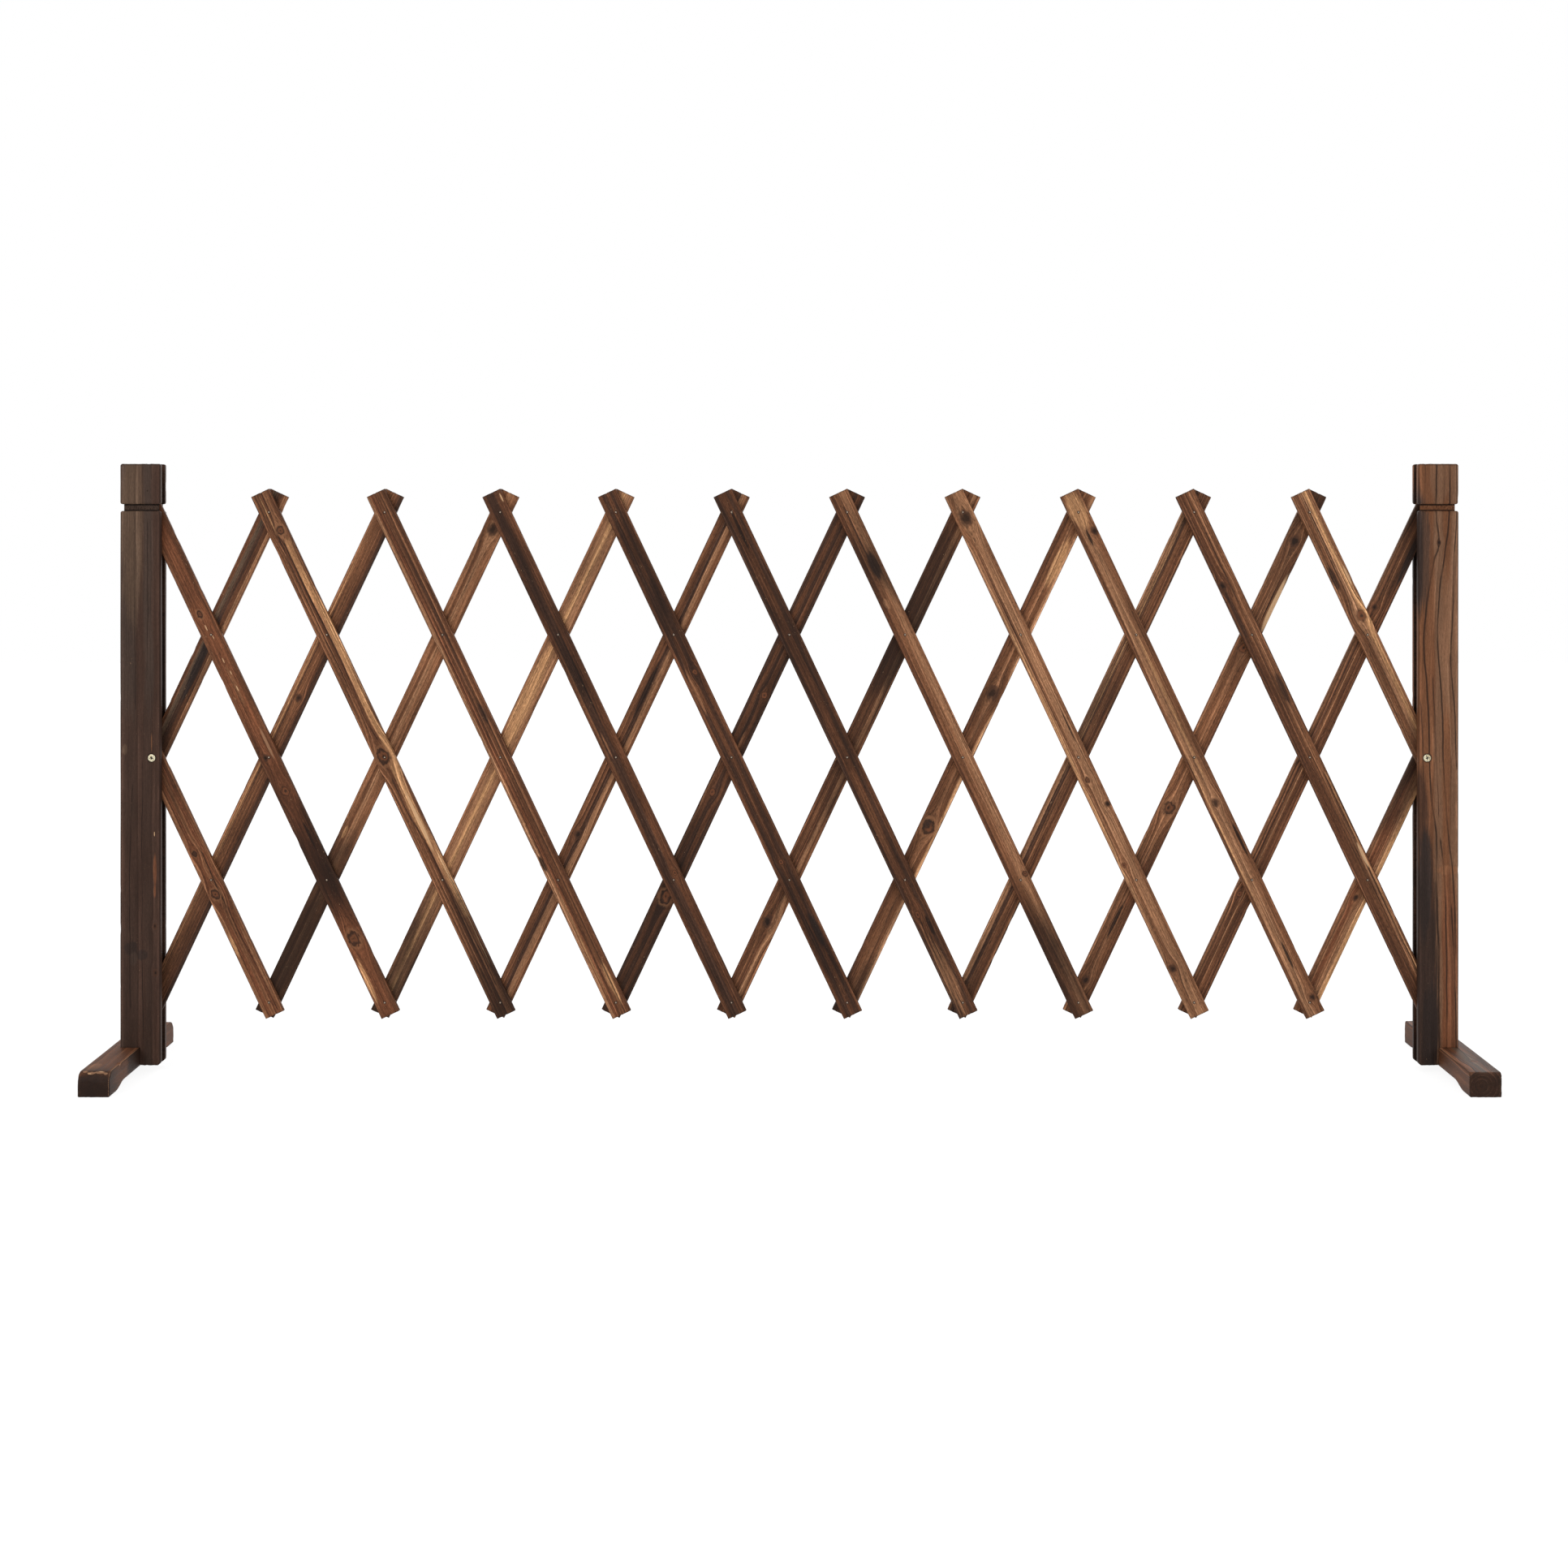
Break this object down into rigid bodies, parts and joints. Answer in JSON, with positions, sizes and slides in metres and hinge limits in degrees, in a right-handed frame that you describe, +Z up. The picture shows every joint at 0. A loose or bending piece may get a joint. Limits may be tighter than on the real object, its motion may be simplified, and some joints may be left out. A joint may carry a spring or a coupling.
{
  "type": "expandable lattice fence",
  "caption": "Free-standing folding wooden trellis: two slotted posts on cross feet, joined by a scissor lattice of burnt fir slats pinned with nails.",
  "frame": {"origin": "on the floor, midway between the posts and midway front to back", "axes": "+X along the fence, to the right seen from the front; the front faces -Y; +Z up"},
  "size_m": [1.6766, 0.32, 0.7487],
  "materials": {
    "post_wood": "burnt and brushed fir, satin",
    "foot_wood": "burnt and brushed fir, satin",
    "slat_wood": "burnt fir, unevenly scorched, satin",
    "screw_zinc": "yellow zinc plating",
    "nail_steel": "bright wire"
  },
  "bodies": {
    "left_upright": {"left_post": "post_wood", "left_foot": "foot_wood", "left_pivot_screw": "screw_zinc", "left_foot_screw_front": "screw_zinc", "left_foot_screw_rear": "screw_zinc"},
    "front_left_short": {"front_slat_left_short": "slat_wood"},
    "front_01": {"front_slat_01": "slat_wood", "nail_01_upper": "nail_steel", "nail_01_middle": "nail_steel"},
    "front_02": {"front_slat_02": "slat_wood", "nail_02_top": "nail_steel", "nail_02_upper": "nail_steel", "nail_02_middle": "nail_steel", "nail_02_lower": "nail_steel", "nail_02_bottom": "nail_steel"},
    "front_03": {"front_slat_03": "slat_wood", "nail_03_middle": "nail_steel", "nail_03_lower": "nail_steel"},
    "front_04": {"front_slat_04": "slat_wood", "nail_04_middle": "nail_steel"},
    "front_05": {"front_slat_05": "slat_wood", "nail_05_upper": "nail_steel", "nail_05_middle": "nail_steel"},
    "front_06": {"front_slat_06": "slat_wood", "nail_06_top": "nail_steel", "nail_06_upper": "nail_steel", "nail_06_middle": "nail_steel", "nail_06_lower": "nail_steel", "nail_06_bottom": "nail_steel"},
    "front_07": {"front_slat_07": "slat_wood", "nail_07_middle": "nail_steel", "nail_07_lower": "nail_steel"},
    "front_08": {"front_slat_08": "slat_wood", "nail_08_middle": "nail_steel"},
    "front_09": {"front_slat_09": "slat_wood", "nail_09_upper": "nail_steel", "nail_09_middle": "nail_steel"},
    "front_10": {"front_slat_10": "slat_wood", "nail_10_top": "nail_steel", "nail_10_upper": "nail_steel", "nail_10_middle": "nail_steel", "nail_10_lower": "nail_steel"},
    "front_right_short": {"front_slat_right_short": "slat_wood"},
    "rear_left_short": {"rear_slat_left_short": "slat_wood"},
    "rear_01": {"rear_slat_01": "slat_wood"},
    "rear_02": {"rear_slat_02": "slat_wood"},
    "rear_03": {"rear_slat_03": "slat_wood"},
    "rear_04": {"rear_slat_04": "slat_wood"},
    "rear_05": {"rear_slat_05": "slat_wood"},
    "rear_06": {"rear_slat_06": "slat_wood"},
    "rear_07": {"rear_slat_07": "slat_wood"},
    "rear_08": {"rear_slat_08": "slat_wood"},
    "rear_09": {"rear_slat_09": "slat_wood"},
    "rear_10": {"rear_slat_10": "slat_wood"},
    "rear_right_short": {"rear_slat_right_short": "slat_wood"},
    "right_upright": {"right_post": "post_wood", "right_foot": "foot_wood", "right_pivot_screw": "screw_zinc", "right_foot_screw_front": "screw_zinc", "right_foot_screw_rear": "screw_zinc"}
  },
  "joints": [
    {"name": "fold", "type": "hinge", "parent": "left_upright", "child": "rear_left_short", "pos_m": [-0.786, 0, 0.38598], "axis": [0, -1, 0], "range_deg": [-8, 20]},
    {"name": "fold_front_02", "type": "hinge", "parent": "rear_left_short", "child": "front_02", "pos_m": [-0.64309, 0, 0.68897], "axis": [0, -1, 0], "range_deg": [-40, 16]},
    {"name": "fold_rear_04", "type": "hinge", "parent": "front_02", "child": "rear_04", "pos_m": [-0.35727, 0, 0.08299], "axis": [0, -1, 0], "range_deg": [-16, 40]},
    {"name": "fold_front_06", "type": "hinge", "parent": "rear_04", "child": "front_06", "pos_m": [-0.07146, 0, 0.68897], "axis": [0, -1, 0], "range_deg": [-40, 16]},
    {"name": "fold_rear_08", "type": "hinge", "parent": "front_06", "child": "rear_08", "pos_m": [0.21436, 0, 0.08299], "axis": [0, -1, 0], "range_deg": [-16, 40]},
    {"name": "fold_front_10", "type": "hinge", "parent": "rear_08", "child": "front_10", "pos_m": [0.50018, 0, 0.68897], "axis": [0, -1, 0], "range_deg": [-40, 16]},
    {"name": "fold_rear_right_short", "type": "hinge", "parent": "front_10", "child": "rear_right_short", "pos_m": [0.71454, 0, 0.23448], "axis": [0, -1, 0], "range_deg": [-16, 40]},
    {"name": "fold_right_upright", "type": "hinge", "parent": "rear_right_short", "child": "right_upright", "pos_m": [0.786, 0, 0.38598], "axis": [0, -1, 0], "range_deg": [-20, 8]},
    {"name": "fold_front_right_short", "type": "hinge", "parent": "right_upright", "child": "front_right_short", "pos_m": [0.786, 0, 0.38598], "axis": [0, -1, 0], "range_deg": [-20, 8]},
    {"name": "fold_front_left_short", "type": "hinge", "parent": "left_upright", "child": "front_left_short", "pos_m": [-0.786, 0, 0.38598], "axis": [0, -1, 0], "range_deg": [-20, 8]},
    {"name": "fold_front_01", "type": "hinge", "parent": "rear_left_short", "child": "front_01", "pos_m": [-0.71454, 0, 0.53747], "axis": [0, -1, 0], "range_deg": [-40, 16]},
    {"name": "fold_rear_01", "type": "hinge", "parent": "front_02", "child": "rear_01", "pos_m": [-0.57164, 0, 0.53747], "axis": [0, -1, 0], "range_deg": [-16, 40]},
    {"name": "fold_rear_02", "type": "hinge", "parent": "front_02", "child": "rear_02", "pos_m": [-0.50018, 0, 0.38598], "axis": [0, -1, 0], "range_deg": [-16, 40]},
    {"name": "fold_rear_03", "type": "hinge", "parent": "front_02", "child": "rear_03", "pos_m": [-0.42873, 0, 0.23448], "axis": [0, -1, 0], "range_deg": [-16, 40]},
    {"name": "fold_front_03", "type": "hinge", "parent": "rear_04", "child": "front_03", "pos_m": [-0.28582, 0, 0.23448], "axis": [0, -1, 0], "range_deg": [-40, 16]},
    {"name": "fold_front_04", "type": "hinge", "parent": "rear_04", "child": "front_04", "pos_m": [-0.21436, 0, 0.38598], "axis": [0, -1, 0], "range_deg": [-40, 16]},
    {"name": "fold_front_05", "type": "hinge", "parent": "rear_04", "child": "front_05", "pos_m": [-0.14291, 0, 0.53747], "axis": [0, -1, 0], "range_deg": [-40, 16]},
    {"name": "fold_rear_05", "type": "hinge", "parent": "front_06", "child": "rear_05", "pos_m": [0, 0, 0.53747], "axis": [0, -1, 0], "range_deg": [-16, 40]},
    {"name": "fold_rear_06", "type": "hinge", "parent": "front_06", "child": "rear_06", "pos_m": [0.07146, 0, 0.38598], "axis": [0, -1, 0], "range_deg": [-16, 40]},
    {"name": "fold_rear_07", "type": "hinge", "parent": "front_06", "child": "rear_07", "pos_m": [0.14291, 0, 0.23448], "axis": [0, -1, 0], "range_deg": [-16, 40]},
    {"name": "fold_front_07", "type": "hinge", "parent": "rear_08", "child": "front_07", "pos_m": [0.28582, 0, 0.23448], "axis": [0, -1, 0], "range_deg": [-40, 16]},
    {"name": "fold_front_08", "type": "hinge", "parent": "rear_08", "child": "front_08", "pos_m": [0.35727, 0, 0.38598], "axis": [0, -1, 0], "range_deg": [-40, 16]},
    {"name": "fold_front_09", "type": "hinge", "parent": "rear_08", "child": "front_09", "pos_m": [0.42873, 0, 0.53747], "axis": [0, -1, 0], "range_deg": [-40, 16]},
    {"name": "fold_rear_09", "type": "hinge", "parent": "front_10", "child": "rear_09", "pos_m": [0.57164, 0, 0.53747], "axis": [0, -1, 0], "range_deg": [-16, 40]},
    {"name": "fold_rear_10", "type": "hinge", "parent": "front_10", "child": "rear_10", "pos_m": [0.64309, 0, 0.38598], "axis": [0, -1, 0], "range_deg": [-16, 40]}
  ],
  "couplings": [
    {"joint": "fold_front_02", "follows": "fold", "ratio": -2},
    {"joint": "fold_rear_04", "follows": "fold", "ratio": 2},
    {"joint": "fold_front_06", "follows": "fold", "ratio": -2},
    {"joint": "fold_rear_08", "follows": "fold", "ratio": 2},
    {"joint": "fold_front_10", "follows": "fold", "ratio": -2},
    {"joint": "fold_rear_right_short", "follows": "fold", "ratio": 2},
    {"joint": "fold_right_upright", "follows": "fold", "ratio": -1},
    {"joint": "fold_front_right_short", "follows": "fold", "ratio": -1},
    {"joint": "fold_front_left_short", "follows": "fold", "ratio": -1},
    {"joint": "fold_front_01", "follows": "fold", "ratio": -2},
    {"joint": "fold_rear_01", "follows": "fold", "ratio": 2},
    {"joint": "fold_rear_02", "follows": "fold", "ratio": 2},
    {"joint": "fold_rear_03", "follows": "fold", "ratio": 2},
    {"joint": "fold_front_03", "follows": "fold", "ratio": -2},
    {"joint": "fold_front_04", "follows": "fold", "ratio": -2},
    {"joint": "fold_front_05", "follows": "fold", "ratio": -2},
    {"joint": "fold_rear_05", "follows": "fold", "ratio": 2},
    {"joint": "fold_rear_06", "follows": "fold", "ratio": 2},
    {"joint": "fold_rear_07", "follows": "fold", "ratio": 2},
    {"joint": "fold_front_07", "follows": "fold", "ratio": -2},
    {"joint": "fold_front_08", "follows": "fold", "ratio": -2},
    {"joint": "fold_front_09", "follows": "fold", "ratio": -2},
    {"joint": "fold_rear_09", "follows": "fold", "ratio": 2},
    {"joint": "fold_rear_10", "follows": "fold", "ratio": 2}
  ]
}
